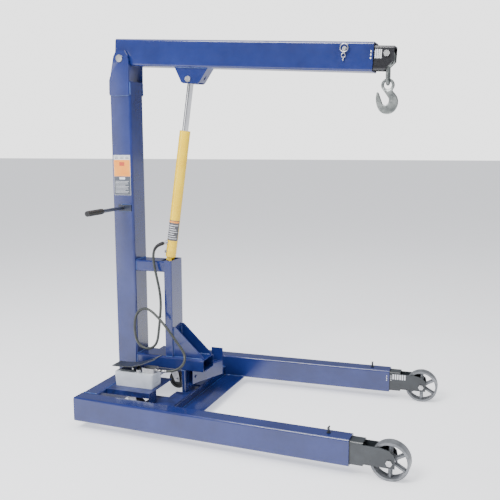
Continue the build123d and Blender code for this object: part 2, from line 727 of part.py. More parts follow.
def ram_port_fitting():
    """Hose port on the barrel, with a plug below it."""
    out = Vector(math.cos(math.radians(PORT_ANGLE)), math.sin(math.radians(PORT_ANGLE)), 0)
    start = on_ram(Pos(out.X * RAM_R, out.Y * RAM_R, PORT_S) * Sphere(1)).center()
    end = Vector(*HOSE_ROUTE[0])
    step = end - start
    boss = Plane(start - step.normalized() * 1.0, z_dir=step) * Cylinder(
        12, 9, align=(Align.CENTER, Align.CENTER, Align.MIN))
    neck = Plane(start, z_dir=step) * Cylinder(
        9.5, step.length, align=(Align.CENTER, Align.CENTER, Align.MIN))
    fitting = boss + neck
    barrel = on_ram(Cylinder(RAM_R, 400, align=(Align.CENTER, Align.CENTER, Align.MIN)))
    plug = on_ram(Pos(out.X * (RAM_R + 4), out.Y * (RAM_R + 4), PORT_S - 60) * Rot(0, 0, PORT_ANGLE)
                  * Rot(0, 90, 0) * Cylinder(9, 10))
    hose_side = Plane(end, z_dir=Vector(*HOSE_ROUTE[1]) - end) * Cylinder(
        20, 30, align=(Align.CENTER, Align.CENTER, Align.MIN))
    return group([fitting - barrel - hose_side, plug - barrel])


def ram_piston():
    inside = RAM_R - RAM_WALL - RUNNING
    piston = Pos(0, 0, PISTON_0) * Cylinder(inside, 30, align=(Align.CENTER, Align.CENTER, Align.MIN))
    piston -= Pos(0, 0, PISTON_0 - 5) * Cylinder(12, 50, align=(Align.CENTER, Align.CENTER, Align.MIN))
    return on_ram(piston)


PISTON_0 = 320.0
EYE_HALF = 24.0


def ram_rod():
    length = RAM_LENGTH - EYE_HALF - PISTON_0 - 30
    rod = Pos(0, 0, PISTON_0 + 30) * Cylinder(RAM_ROD_R, length, align=(Align.CENTER, Align.CENTER, Align.MIN))
    rod += Pos(0, 0, PISTON_0) * Cylinder(12, 32, align=(Align.CENTER, Align.CENTER, Align.MIN))
    return on_ram(rod)


def ram_rod_eye():
    """Eye block with an open slot, because the head pin is the opened pivot of the linkage."""
    rear = EYE_SLACK_REAR + RAM_PIN_R + 10
    front = EYE_SLACK_FRONT + RAM_PIN_R + 10
    eye = block(-rear, front, -20, 20, RAM_LENGTH - EYE_HALF, RAM_LENGTH + EYE_HALF)
    corners = eye.edges().filter_by(Axis.Y)
    eye = fillet(corners, 12)
    hole_r = RAM_PIN_R + EYE_SLACK_AXIAL
    slot = bar_y(-EYE_SLACK_REAR + EYE_SLACK_AXIAL, RAM_LENGTH, hole_r, -30, 30)
    slot += bar_y(EYE_SLACK_FRONT - EYE_SLACK_AXIAL, RAM_LENGTH, hole_r, -30, 30)
    slot += block(-EYE_SLACK_REAR + EYE_SLACK_AXIAL, EYE_SLACK_FRONT - EYE_SLACK_AXIAL, -30, 30,
                  RAM_LENGTH - hole_r, RAM_LENGTH + hole_r)
    return on_ram(eye - slot)


# Pump

def pump_reservoir():
    width = PUMP_X1 - PUMP_X0
    depth = PUMP_Y1 - PUMP_Y0
    mid = Pos((PUMP_X0 + PUMP_X1) / 2, (PUMP_Y0 + PUMP_Y1) / 2, 0)
    low = mid * Pos(0, 0, PUMP_Z0) * RectangleRounded(width - 10, depth - 8, 9)
    high = mid * Pos(0, 0, PUMP_Z1) * RectangleRounded(width, depth, 10)
    return loft([low, high])


def pump_body():
    body = block(150, 250, -294, -206, PUMP_Z1, 297)
    for hand in SIDES.values():
        y = TREADLE_Y + hand * 34
        lug = block(TREADLE_X - 9, TREADLE_X + 9, y - 4, y + 4, 296, TREADLE_Z)
        lug += bar_y(TREADLE_X, TREADLE_Z, 9, y - 4, y + 4)
        body += lug - bar_y(TREADLE_X, TREADLE_Z, 5, y - 6, y + 6)
    return body


def pump_valve_block():
    block_body = block(300, 376, -285, -215, PUMP_Z1, 316)
    round_fitting = bar_z(274, -284, 16, PUMP_Z1, 306)
    return group([block_body, round_fitting])


def treadle():
    """Foot plate that rocks on the pump body."""
    top = [(96, 318), (160, 319), (235, 325), (300, 344), (394, 386)]
    under = [(x, z - 5) for x, z in reversed(top)]
    plate = plate_xz(top + under, TREADLE_Y - 50, TREADLE_Y + 50)
    for hand in SIDES.values():
        y = TREADLE_Y + hand * 26
        lug = block(TREADLE_X - 9, TREADLE_X + 9, y - 3, y + 3, TREADLE_Z, 323)
        lug += bar_y(TREADLE_X, TREADLE_Z, 9, y - 3, y + 3)
        plate += lug
    return plate - bar_y(TREADLE_X, TREADLE_Z, 5, TREADLE_Y - 32, TREADLE_Y + 32)


def treadle_pin():
    return bar_y(TREADLE_X, TREADLE_Z, 5 - RUNNING, TREADLE_Y - 40, TREADLE_Y + 40)


# Hose

def hose_runs():
    points = [Vector(*p) for p in HOSE_ROUTE]
    return points, [b - a for a, b in zip(points, points[1:])]


def hose_radii():
    """One radius for each corner: a share of the shorter run, over the tangent of half the turn."""
    points, runs = hose_runs()
    radii = []
    for before, after in zip(runs, runs[1:]):
        turn = before.get_angle(after)
        shorter = min(before.length, after.length)
        radii.append(HOSE_RADIUS_SHARE * shorter / math.tan(math.radians(turn / 2)))
    return radii


def hose():
    points, runs = hose_runs()
    path = FilletPolyline(*points, radius=hose_radii())
    section = Plane(points[0], z_dir=runs[0]) * Circle(HOSE_R)
    tube = sweep(section, path=path)
    return tube, path.length


def hose_pump_fitting():
    x = HOSE_ROUTE[-1][0]
    y, z = HOSE_ROUTE[-1][1:]
    fitting = bar_x(y, z, 9.5, 376, x) + bar_x(y, z, 12, 376, 388)
    return fitting


# Nodes

save("leg_sleeves", group([leg_sleeve(s) for s in SIDES.values()] + [leg_cap(s) for s in SIDES.values()]))
save("rear_rail", rear_rail())
save("front_cross_tube", front_cross_tube())
save("front_cross_plate", front_cross_plate())
save("deck_plates", group([deck_plate(s) for s in SIDES.values()]))
save("tray_plates", group([tray_plate(s) for s in SIDES.values()]))
save("tray_posts", group([tray_post(s) for s in SIDES.values()]))
save("mast_foot_plate", mast_foot_plate())
save("mast_tube", group(mast_tube()))
save("mast_ears", group([mast_ear(s) for s in SIDES.values()] + [pivot_spacer(s) for s in SIDES.values()]))
save("boom_pivot_pin", group(boom_pivot_pin()))
save("base_beam", base_beam())
save("beam_post", beam_post())
save("ram_column", ram_column())
save("column_gussets", group([column_gusset(s) for s in SIDES.values()]))
save("tie_tube", tie_tube())
save("ram_base_lugs", group([ram_base_lug(s) for s in SIDES.values()]))
save("ram_base_pin", group(ram_base_pin()))
save("brace_arm", group([brace_arm(), brace_upright()] + brace_bolts()))
save("push_handle_bar", push_handle())
save("push_grip", push_grip())
save("rating_plate", rating_plate())
save("caster_races", group([caster_race(s) for s in SIDES.values()]))

save("boom_tube", boom_tube())
save("boom_pivot_bush", boom_pivot_bush())
save("ram_bracket", ram_bracket())
save("ram_head_pin", ram_head_pin())
save("boom_extension", boom_extension())
save("hook_bolt", hook_bolt())
save("boom_lock_pin", boom_lock_pin())
save("load_link", load_link())
save("shackle", shackle())
save("shackle_pin", shackle_pin())
save("hook", hook())

save("ram_barrel", ram_barrel())
save("ram_gland", ram_gland())
save("ram_base_tang", ram_base_tang())
save("ram_port_fitting", ram_port_fitting())
save("ram_piston", ram_piston())
save("ram_rod", ram_rod())
save("ram_rod_eye", ram_rod_eye())

save("pump_reservoir", pump_reservoir())
save("pump_body", pump_body())
save("pump_valve_block", pump_valve_block())
save("treadle", treadle())
save("treadle_pin", treadle_pin())
hose_solid, hose_length = hose()
save("hose", hose_solid)
save("hose_pump_fitting", hose_pump_fitting())

for side_name, side_sign in SIDES.items():
    save(f"leg_extension_{side_name}", leg_extension(side_sign))
    save(f"front_axle_{side_name}", front_axle(side_sign))
    save(f"front_wheel_{side_name}", place_front(side_sign, front_wheel()))
    save(f"leg_lock_pin_{side_name}", leg_lock_pin(side_sign))
    save(f"caster_fork_{side_name}", caster_fork(side_sign))
    save(f"caster_wheel_{side_name}", caster_wheel(side_sign))

low = [1e9, 1e9, 1e9]
high = [-1e9, -1e9, -1e9]
for node_name, node_shape in nodes.items():
    moved = Pos(-REAR_TO_MIDDLE, 0, 0) * node_shape
    export_step(moved, f"parts/{node_name}.step")
    box = moved.bounding_box()
    if node_name != "hose":
        low = [min(a, b) for a, b in zip(low, (box.min.X, box.min.Y, box.min.Z))]
        high = [max(a, b) for a, b in zip(high, (box.max.X, box.max.Y, box.max.Z))]

print("box", [round(v, 2) for v in low], [round(v, 2) for v in high])
print("hose length", round(hose_length, 1), "radii", [round(r) for r in hose_radii()])
print("hose volume over section times length", round(hose_solid.volume / (math.pi * HOSE_R ** 2 * hose_length), 4))
print("hang point", round(HANG_X, 2), round(HANG_Z, 2), "shackle pin", round(SHACKLE_PIN_Z, 2), "bow", round(BOW_Z, 2))
print("ram lean", round(RAM_LEAN, 3), "length", round(RAM_LENGTH, 2), "nodes", len(nodes))
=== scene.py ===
import math

import bpy
from mathutils import Matrix, Vector

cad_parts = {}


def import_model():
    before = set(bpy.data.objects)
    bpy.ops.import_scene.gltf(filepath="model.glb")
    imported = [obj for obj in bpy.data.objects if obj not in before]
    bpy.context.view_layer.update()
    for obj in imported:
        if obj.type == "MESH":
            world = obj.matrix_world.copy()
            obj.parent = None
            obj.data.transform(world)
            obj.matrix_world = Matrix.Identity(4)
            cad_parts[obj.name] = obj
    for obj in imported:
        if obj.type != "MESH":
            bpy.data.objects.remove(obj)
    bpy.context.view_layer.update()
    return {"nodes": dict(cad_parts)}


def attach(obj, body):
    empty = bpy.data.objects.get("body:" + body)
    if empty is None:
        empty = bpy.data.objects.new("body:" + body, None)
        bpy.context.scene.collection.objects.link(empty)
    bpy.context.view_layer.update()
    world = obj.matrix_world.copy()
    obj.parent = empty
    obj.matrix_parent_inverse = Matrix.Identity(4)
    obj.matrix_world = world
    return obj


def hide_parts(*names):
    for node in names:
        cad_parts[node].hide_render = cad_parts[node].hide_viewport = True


# The CAD part is laid out from the rear of the frame; every helper below takes those
# millimetres and gives metres in the shared frame.
REAR_TO_MIDDLE = 991.25
LEG_SPLAY = math.radians(1.9)
LEG_Y = 538.0
BOOM_DROOP = math.radians(3.46)
PIVOT = (91.0, 2198.0)
RAM_FOOT = (360.0, 925.0)
RAM_LEAN = math.atan2(528.0 - 360.0, 2064.0 - 925.0)
RAM_R = 33.0
HOSE_R = 8.0
HOSE_ROUTE = [
    (341, -39, 1063), (313, -65, 1054), (294, -82, 1026), (289, -90, 985), (297, -95, 925),
    (317, -100, 850), (339, -106, 765), (347, -110, 680), (340, -113, 600), (331, -115, 520),
    (320, -116, 442), (291, -117, 402), (245, -118, 387), (199, -119, 402), (170, -120, 442),
    (160, -121, 500), (163, -122, 560), (178, -124, 612), (215, -127, 648), (262, -131, 655),
    (305, -135, 632), (360, -138, 585), (420, -141, 518), (472, -143, 455), (518, -145, 396),
    (535, -167, 357), (528, -201, 324), (498, -233, 306), (454, -250, 300), (408, -250, 300),
]

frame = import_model()
nodes = frame["nodes"]
scene = bpy.context.scene


def world(x, y, z):
    """Rear-based millimetres to metres in the shared frame."""
    return Vector(((x - REAR_TO_MIDDLE) / 1000, y / 1000, z / 1000))


def on_boom(x, y, z):
    c, s = math.cos(BOOM_DROOP), math.sin(BOOM_DROOP)
    return world(PIVOT[0] + x * c + z * s, y, PIVOT[1] - x * s + z * c)


def on_ram(x, y, z):
    c, s = math.cos(RAM_LEAN), math.sin(RAM_LEAN)
    return world(RAM_FOOT[0] + x * c + z * s, y, RAM_FOOT[1] - x * s + z * c)


def on_leg(side, x, y, z):
    a = side * LEG_SPLAY
    c, s = math.cos(a), math.sin(a)
    return world(x * c - y * s, side * LEG_Y + x * s + y * c, z)


# Materials

def principled(name):
    mat = bpy.data.materials.new(name)
    mat.use_nodes = True
    tree = mat.node_tree
    return mat, tree, tree.nodes["Principled BSDF"]


def noise(tree, coord, scale, detail=4.0, rough=0.6, stretch=None):
    tex = tree.nodes.new("ShaderNodeTexNoise")
    tex.inputs["Scale"].default_value = scale
    tex.inputs["Detail"].default_value = detail
    tex.inputs["Roughness"].default_value = rough
    if stretch:
        mapping = tree.nodes.new("ShaderNodeMapping")
        mapping.inputs["Scale"].default_value = stretch
        tree.links.new(coord, mapping.inputs["Vector"])
        coord = mapping.outputs["Vector"]
    tree.links.new(coord, tex.inputs["Vector"])
    return tex.outputs["Fac"]


def ramp(tree, fac, stops):
    node = tree.nodes.new("ShaderNodeValToRGB")
    elements = node.color_ramp.elements
    while len(elements) < len(stops):
        elements.new(0.5)
    for element, (place, colour) in zip(elements, stops):
        element.position = place
        element.color = (*colour, 1.0)
    tree.links.new(fac, node.inputs["Fac"])
    return node.outputs["Color"]


def to_range(tree, fac, low, high, out_low, out_high):
    node = tree.nodes.new("ShaderNodeMapRange")
    node.inputs["From Min"].default_value = low
    node.inputs["From Max"].default_value = high
    node.inputs["To Min"].default_value = out_low
    node.inputs["To Max"].default_value = out_high
    tree.links.new(fac, node.inputs["Value"])
    return node.outputs["Result"]


def add_bump(tree, shader, heights):
    """heights is a list of (factor, strength, distance), chained."""
    previous = None
    for fac, strength, distance in heights:
        node = tree.nodes.new("ShaderNodeBump")
        node.inputs["Strength"].default_value = strength
        node.inputs["Distance"].default_value = distance
        tree.links.new(fac, node.inputs["Height"])
        if previous:
            tree.links.new(previous, node.inputs["Normal"])
        previous = node.outputs["Normal"]
    tree.links.new(previous, shader.inputs["Normal"])


def surface(name, dark, base, light, rough, metallic=0.0, coat=0.0, grain=220.0, bump=0.15,
            patch=5.0, specks=None, stretch=None):
    """Painted or plain surface: slow colour drift, fine grain, scuffed roughness and bump."""
    mat, tree, shader = principled(name)
    coord = tree.nodes.new("ShaderNodeTexCoord").outputs["Object"]
    slow = noise(tree, coord, patch, 5.0, 0.62)
    colour = ramp(tree, slow, [(0.30, dark), (0.52, base), (0.74, light)])
    if specks:
        spots = noise(tree, coord, 95.0, 6.0, 0.7)
        mask = to_range(tree, spots, 0.70, 0.74, 0.0, 1.0)
        mix = tree.nodes.new("ShaderNodeMix")
        mix.data_type = "RGBA"
        sockets = {socket.name: socket for socket in mix.inputs if socket.type == "RGBA"}
        sockets["B"].default_value = (*specks, 1.0)
        tree.links.new(mask, mix.inputs["Factor"])
        tree.links.new(colour, sockets["A"])
        colour = next(socket for socket in mix.outputs if socket.type == "RGBA")
    tree.links.new(colour, shader.inputs["Base Color"])
    scuff = noise(tree, coord, 34.0, 8.0, 0.72, stretch)
    tree.links.new(to_range(tree, scuff, 0.3, 0.75, rough[0], rough[1]), shader.inputs["Roughness"])
    shader.inputs["Metallic"].default_value = metallic
    shader.inputs["Coat Weight"].default_value = coat
    shader.inputs["Coat Roughness"].default_value = 0.08
    fine = noise(tree, coord, grain, 3.0, 0.5, stretch)
    add_bump(tree, shader, [(fine, bump, 0.0006), (scuff, bump * 0.5, 0.0004)])
    return mat


BLUE = surface("blue_enamel", (0.009, 0.018, 0.105), (0.012, 0.024, 0.140), (0.017, 0.032, 0.175),
               (0.16, 0.28), coat=0.5, grain=160.0, bump=0.08, specks=(0.014, 0.022, 0.10))
BLUE_TRAY = surface("blue_enamel_worn", (0.006, 0.010, 0.045), (0.012, 0.024, 0.13), (0.035, 0.05, 0.19),
                    (0.30, 0.52), coat=0.2, grain=140.0, bump=0.2, patch=16.0, specks=(0.10, 0.09, 0.08))
YELLOW = surface("yellow_enamel", (0.84, 0.52, 0.0), (0.95, 0.62, 0.0), (1.0, 0.70, 0.01),
                 (0.20, 0.34), coat=0.2, grain=170.0, bump=0.08)
CHROME = surface("chrome_rod", (0.62, 0.62, 0.64), (0.72, 0.72, 0.74), (0.80, 0.80, 0.82),
                 (0.06, 0.16), metallic=1.0, grain=420.0, bump=0.03)
CHARCOAL = surface("charcoal_enamel", (0.014, 0.017, 0.020), (0.026, 0.031, 0.036), (0.045, 0.053, 0.060),
                   (0.26, 0.42), coat=0.3, grain=180.0, bump=0.12, specks=(0.16, 0.16, 0.16))
BLACK = surface("black_enamel", (0.006, 0.006, 0.008), (0.011, 0.011, 0.014), (0.02, 0.02, 0.026),
                (0.22, 0.36), coat=0.3, grain=180.0, bump=0.10)
# Push handle bar: blue enamel like the frame, greyed and darkened to navy as painted shade on the thin
# bar
HANDLE_BLUE_SHADED = surface("handle_blue_enamel_painted_shade", (0.012, 0.016, 0.03), (0.02, 0.026, 0.05), (0.034, 0.042, 0.075),
               (0.26, 0.4), coat=0.25, grain=180.0, bump=0.1)
ZINC = surface("zinc_plate", (0.34, 0.34, 0.35), (0.52, 0.52, 0.53), (0.66, 0.66, 0.66),
               (0.24, 0.46), metallic=1.0, grain=260.0, bump=0.12, patch=30.0)
FORGED = surface("zinc_forging", (0.13, 0.14, 0.14), (0.26, 0.28, 0.27), (0.42, 0.44, 0.43),
                 (0.30, 0.50), metallic=0.9, grain=120.0, bump=0.25, patch=24.0)
CAST = surface("wheel_casting", (0.13, 0.135, 0.145), (0.20, 0.21, 0.225), (0.28, 0.29, 0.31),
               (0.38, 0.58), metallic=0.35, grain=150.0, bump=0.45, patch=18.0)
TREAD = surface("wheel_tread", (0.07, 0.07, 0.075), (0.12, 0.12, 0.125), (0.19, 0.19, 0.195),
                (0.5, 0.72), grain=200.0, bump=0.4, patch=24.0)
CASTER = surface("caster_tread", (0.010, 0.010, 0.011), (0.02, 0.02, 0.021), (0.04, 0.04, 0.04),
                 (0.34, 0.55), grain=220.0, bump=0.2)
GRIP = surface("grip_rubber", (0.008, 0.008, 0.009), (0.014, 0.014, 0.016), (0.028, 0.028, 0.03),
               (0.45, 0.65), grain=240.0, bump=0.4)
HOSE = surface("hose_cover", (0.028, 0.032, 0.029), (0.045, 0.050, 0.046), (0.07, 0.076, 0.07),
               (0.36, 0.52), grain=420.0, bump=0.35)
RESERVOIR = surface("reservoir_enamel", (0.55, 0.59, 0.64), (0.70, 0.74, 0.80), (0.82, 0.85, 0.89),
                    (0.30, 0.45), coat=0.2, grain=120.0, bump=0.25)
# Weld beads: the frame's blue made lighter, a painted highlight along each bead
WELD_HIGHLIGHT = surface("weld_bead_painted_highlight", (0.020, 0.052, 0.20), (0.030, 0.075, 0.27), (0.05, 0.10, 0.33),
               (0.14, 0.26), coat=0.6, grain=300.0, bump=0.1)
SILVER_FILM = surface("silver_film", (0.52, 0.53, 0.56), (0.62, 0.64, 0.67), (0.72, 0.73, 0.76),
                      (0.25, 0.4), metallic=0.4, grain=300.0, bump=0.04)
ORANGE_FILM = surface("orange_film", (0.80, 0.24, 0.02), (0.92, 0.31, 0.03), (0.98, 0.40, 0.06),
                      (0.35, 0.5), grain=300.0, bump=0.03)
GREY_FILM = surface("grey_film", (0.05, 0.06, 0.08), (0.075, 0.085, 0.11), (0.11, 0.12, 0.15),
                    (0.3, 0.45), grain=300.0, bump=0.03)
RED_FILM = surface("red_film", (0.42, 0.04, 0.02), (0.55, 0.06, 0.03), (0.65, 0.10, 0.05),
                   (0.35, 0.5), grain=300.0, bump=0.03)
PALE_FILM = surface("pale_film", (0.62, 0.64, 0.68), (0.72, 0.74, 0.78), (0.8, 0.82, 0.85),
                    (0.35, 0.5), grain=300.0, bump=0.03)
DARK_FILM = surface("dark_film", (0.05, 0.05, 0.06), (0.09, 0.09, 0.10), (0.14, 0.14, 0.15),
                    (0.3, 0.5), grain=300.0, bump=0.03)
WHITE = surface("white_mark", (0.66, 0.67, 0.70), (0.78, 0.79, 0.82), (0.86, 0.87, 0.9),
                (0.35, 0.5), grain=300.0, bump=0.03)

NODE_MATERIALS = {
    BLUE: """leg_sleeves rear_rail front_cross_tube front_cross_plate tray_posts mast_foot_plate
        mast_tube mast_ears base_beam beam_post ram_column column_gussets tie_tube ram_base_lugs
        brace_arm boom_tube ram_bracket""",
    BLUE_TRAY: "tray_plates deck_plates",
    YELLOW: "ram_barrel ram_gland ram_base_tang",
    CHROME: "ram_rod ram_piston",
    CHARCOAL: """leg_lock_pin_right leg_lock_pin_left leg_extension_right leg_extension_left
        ram_rod_eye treadle pump_body""",
    BLACK: "boom_extension",
    HANDLE_BLUE_SHADED: "push_handle_bar",
    GRIP: "push_grip",
    HOSE: "hose",
    SILVER_FILM: "rating_plate",
    RESERVOIR: "pump_reservoir",
    CAST: "front_wheel_right front_wheel_left",
    CASTER: "caster_wheel_right caster_wheel_left",
    FORGED: "load_link shackle hook",
}
painted = {}
for material, names in NODE_MATERIALS.items():
    for name in names.split():
        painted[name] = material
for name, node in nodes.items():
    material = painted.get(name, ZINC)
    if not node.material_slots:
        node.data.materials.append(material)
    for material_slot in node.material_slots:
        material_slot.material = material

# Small radii in millimetres on the CAD edges, so that they catch the light
EDGE_ANGLE = math.radians(38)
SMOOTH_ANGLE = math.radians(32)
ROUNDED = {"leg_sleeves": 0.9, "mast_ears": 1.6, "tray_plates": 1.2, "column_gussets": 1.2,
           "front_cross_plate": 1.2, "brace_arm": 1.2, "ram_bracket": 1.6, "base_beam": 0.9,
           "ram_column": 1.0, "treadle": 1.4, "pump_valve_block": 1.5, "pump_body": 1.2,
           "mast_foot_plate": 1.6, "boom_tube": 0.9, "mast_tube": 0.9, "boom_extension": 0.9,
           "push_handle_bar": 1.0, "tie_tube": 0.9, "beam_post": 0.9, "hook_bolt": 0.9,
           "front_axle_right": 0.9, "front_axle_left": 0.9, "front_wheel_right": 1.6,
           "front_wheel_left": 1.6, "caster_fork_right": 0.9, "caster_fork_left": 0.9,
           "boom_pivot_pin": 1.2, "ram_head_pin": 1.2, "rear_rail": 0.9, "front_cross_tube": 0.9,
           "leg_extension_right": 0.9, "leg_extension_left": 0.9, "push_grip": 3.0,
           "ram_gland": 1.5, "ram_port_fitting": 0.8}
for name, width in ROUNDED.items():
    bevel = nodes[name].modifiers.new("edge", "BEVEL")
    bevel.width = width / 1000
    bevel.segments = 2
    bevel.limit_method = "ANGLE"
    bevel.angle_limit = EDGE_ANGLE


# Mesh helpers

def new_mesh(name, shape, materials, body, smooth=True, indices=()):
    """A piece from (vertices, faces); indices gives a material for each face in turn."""
    verts, faces = shape
    mesh = bpy.data.meshes.new(name)
    mesh.from_pydata([tuple(v) for v in verts], [], faces)
    for material in materials:
        mesh.materials.append(material)
    for polygon, index in zip(mesh.polygons, indices):
        polygon.material_index = index
    if smooth:
        for polygon in mesh.polygons:
            polygon.use_smooth = True
    mesh.update()
    piece = bpy.data.objects.new(name, mesh)
    scene.collection.objects.link(piece)
    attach(piece, body)
    return piece


def sweep(path, radii, sides=12, caps=True):
    """Vertices and faces of a tube along a path, one radius for each point."""
    verts, faces = [], []
    up = None
    for i, point in enumerate(path):
        ahead = path[min(i + 1, len(path) - 1)] - path[max(i - 1, 0)]
        ahead.normalize()
        if up is None:
            up = ahead.orthogonal().normalized()
        up = (up - ahead * up.dot(ahead)).normalized()
        across = ahead.cross(up)
        for k in range(sides):
            turn = 2 * math.pi * k / sides
            verts.append(point + (up * math.cos(turn) + across * math.sin(turn)) * radii[i])
    for i in range(len(path) - 1):
        for k in range(sides):
            a = i * sides + k
            b = i * sides + (k + 1) % sides
            faces.append((a, b, b + sides, a + sides))
    if caps:
        faces.append(tuple(reversed(range(sides))))
        last = (len(path) - 1) * sides
        faces.append(tuple(range(last, last + sides)))
    return verts, faces


def turns(sides):
    """Angles of a closed ring, its first point repeated at the end."""
    return [2 * math.pi * i / sides for i in range(sides + 1)]


def join(parts):
    """One shape from several."""
    verts, faces = [], []
    for part_verts, part_faces in parts:
        shift = len(verts)
        verts.extend(part_verts)
        faces.extend(tuple(i + shift for i in face) for face in part_faces)
    return verts, faces


def bead(start, end, radius_mm, pitch_mm=4.5):
    """One weld run from start to end, in metres, with the ripple of its puddles."""
    length = (end - start).length * 1000
    count = max(4, int(length / pitch_mm * 4))
    path, radii = [], []
    for i in range(count + 1):
        share = i / count
        path.append(start.lerp(end, share))
        ripple = 0.86 + 0.14 * abs(math.sin(math.pi * share * length / pitch_mm))
        taper = min(1.0, 0.55 + 6 * min(share, 1 - share))
        wander = 1.0 + 0.06 * math.sin(share * length * 0.21)
        radii.append(radius_mm / 1000 * ripple * taper * wander)
    return sweep(path, radii, 10)


def slab(corners, depth):
    """A thin plate from four corners, its thickness along depth."""
    verts = list(corners) + [corner + depth for corner in corners]
    faces = [(0, 1, 2, 3), (7, 6, 5, 4), (0, 4, 5, 1), (1, 5, 6, 2), (2, 6, 7, 3), (3, 7, 4, 0)]
    return verts, faces


# Welds, in a blue lighter than the frame's paint as a painted highlight along each run

# Straight runs on the frame: start, end and bead radius, in rear-based millimetres.
# A mirrored run is laid on both sides, with y measured outwards from the middle.
MIRRORED_RUNS = [
    # Mast ears on the mast tube
    ((152, 80.5, 1980), (152, 80.5, 2058), 4.5),
    ((20, 81.5, 1976.5), (146, 81.5, 1976.5), 4.0),
    ((14, 80.5, 1985), (14, 80.5, 2056), 3.5),
    # Side of the base beam against the mast, and the column's foot on the beam
    ((153, 80, 262), (153, 80, 334), 4.0),
    ((357, 77, 339), (404, 77, 339), 3.5),
    # Tie tube's rear end on the mast and front end on the column
    ((155, 66, 885), (155, 66, 945), 3.5),
    ((356, 66, 885), (356, 66, 945), 3.0),
    # Mast tube on its foot plate
    ((8, 80.5, 209), (153, 80.5, 209), 4.0),
    # Both faces of each column gusset
    ((408, 55.5, 345), (408, 55.5, 524), 3.0),
    ((412, 55.5, 339), (606, 55.5, 339), 3.0),
    ((408, 64.5, 345), (408, 64.5, 524), 3.0),
    ((412, 64.5, 339), (606, 64.5, 339), 3.0),
    # Beam post's top and foot
    ((464, 78, 256), (487, 78, 256), 3.0),
    ((464, 78, 110), (487, 78, 110), 3.0),
]
# On the inner face of each leg sleeve: start x and z, end x and z, distance inwards from
# the sleeve's middle, and radius
LEG_RUNS = [
    ((103, 56), (103, 190), 51, 4.0),
    ((4, 195.6), (98, 195.6), 50.5, 3.5),
    ((467, 115.6), (524, 115.6), 51, 3.5),
    ((528, 57), (664, 57), 51, 3.0),
]
TRAY_RUN = ((104, 82, 196.5), (104, 390, 196.5), 3.0)
SINGLE_RUNS = [
    # Across the beam's top at the mast, the tie tube's ends, the column and the mast's foot
    ((154, -74, 339), (154, 74, 339), 4.5),
    ((155, -62, 951), (155, 62, 951), 4.0),
    ((356, -62, 951), (356, 62, 951), 3.5),
    ((407.5, -70, 339), (407.5, 70, 339), 3.5),
    ((153.5, -79, 209), (153.5, 79, 209), 4.0),
    # The low cross plate against the cross tube, and the brace arm under the beam
    ((526, -480, 57), (526, 480, 57), 2.5),
    ((531, -38, 256), (572, 78, 256), 4.0),
    # Push handle's bracket
    ((61, -80.5, 1302.5), (138, -80.5, 1302.5), 3.0),
    ((61, -80.5, 1261.5), (138, -80.5, 1261.5), 3.0),
]


def mirrored(weld, hand):
    (x0, y0, z0), (x1, y1, z1), radius = weld
    return bead(world(x0, hand * y0, z0), world(x1, hand * y1, z1), radius)


runs = []
for hand in (-1, 1):
    runs.extend(mirrored(weld, hand) for weld in MIRRORED_RUNS)
    for (x0, z0), (x1, z1), depth, radius in LEG_RUNS:
        start, end = on_leg(hand, x0, -hand * depth, z0), on_leg(hand, x1, -hand * depth, z1)
        runs.append(bead(start, end, radius))
    runs.append(mirrored(TRAY_RUN, hand))
for start, end, radius in SINGLE_RUNS:
    runs.append(bead(world(*start), world(*end), radius))
new_mesh("frame_welds", join(runs), [WELD_HIGHLIGHT], "frame")

# Welds round the ram bracket, just under the boom tube
BRACKET_Z = -39.5
boom_runs = [bead(on_boom(356, hand * 46, BRACKET_Z), on_boom(568, hand * 46, BRACKET_Z), 4.0)
             for hand in (-1, 1)]
boom_runs.append(bead(on_boom(572, -40, BRACKET_Z), on_boom(572, 40, BRACKET_Z), 3.5))
new_mesh("boom_welds", join(boom_runs), [WELD_HIGHLIGHT], "boom")

# Rating plate: header, band and a panel of plain rules, with no lettering

PLATE_FILMS = [SILVER_FILM, ORANGE_FILM, GREY_FILM, PALE_FILM, RED_FILM]
SILVER, ORANGE, GREY, PALE, RED = range(len(PLATE_FILMS))
PRINT_Y = -80.8
PRINT_PROUD = 0.3
MARK_PROUD = 0.5
RULE_LENGTHS = (96, 88, 92, 70)
tiles, tile_index = [], []


def tile(x0, x1, z0, z1, index, proud):
    corners = [world(x0, PRINT_Y, z0), world(x1, PRINT_Y, z0),
               world(x1, PRINT_Y, z1), world(x0, PRINT_Y, z1)]
    tiles.append(slab(corners, Vector((0, -proud / 1000, 0))))
    tile_index.extend([index] * 6)


tile(23, 137, 1583, 1609, SILVER, PRINT_PROUD)
tile(23, 137, 1480, 1582, ORANGE, PRINT_PROUD)
tile(62, 98, 1545, 1568, RED, MARK_PROUD)
tile(23, 137, 1364, 1479, GREY, PRINT_PROUD)
tile(60, 100, 1460, 1474, PALE, MARK_PROUD)
for row in range(10):
    length = RULE_LENGTHS[row % len(RULE_LENGTHS)]
    tile(30, 30 + length, 1447 - row * 8, 1449.2 - row * 8, PALE, MARK_PROUD)
for x in (30, 68, 106):
    for z in (1590, 1598):
        tile(x, x + 24, z, z + 3, GREY, MARK_PROUD)
new_mesh("rating_plate_print", join(tiles), PLATE_FILMS, "frame",
         smooth=False, indices=tile_index)

# Ram label: a dark wrapped film with plain rules and one orange band

LABEL_SIDES = 36
LABEL_R = RAM_R + 0.25
LABEL_MARK_R = RAM_R + 0.45


def wrapped(s0, s1, turn0, turn1, radius):
    """A strip round the barrel between two heights and two turns in degrees."""
    verts, faces = [], []
    for i in range(LABEL_SIDES + 1):
        turn = math.radians(turn0 + (turn1 - turn0) * i / LABEL_SIDES)
        for s in (s0, s1):
            verts.append(on_ram(math.cos(turn) * radius, math.sin(turn) * radius, s))
    for i in range(LABEL_SIDES):
        a = 2 * i
        faces.append((a, a + 2, a + 3, a + 1))
    return verts, faces


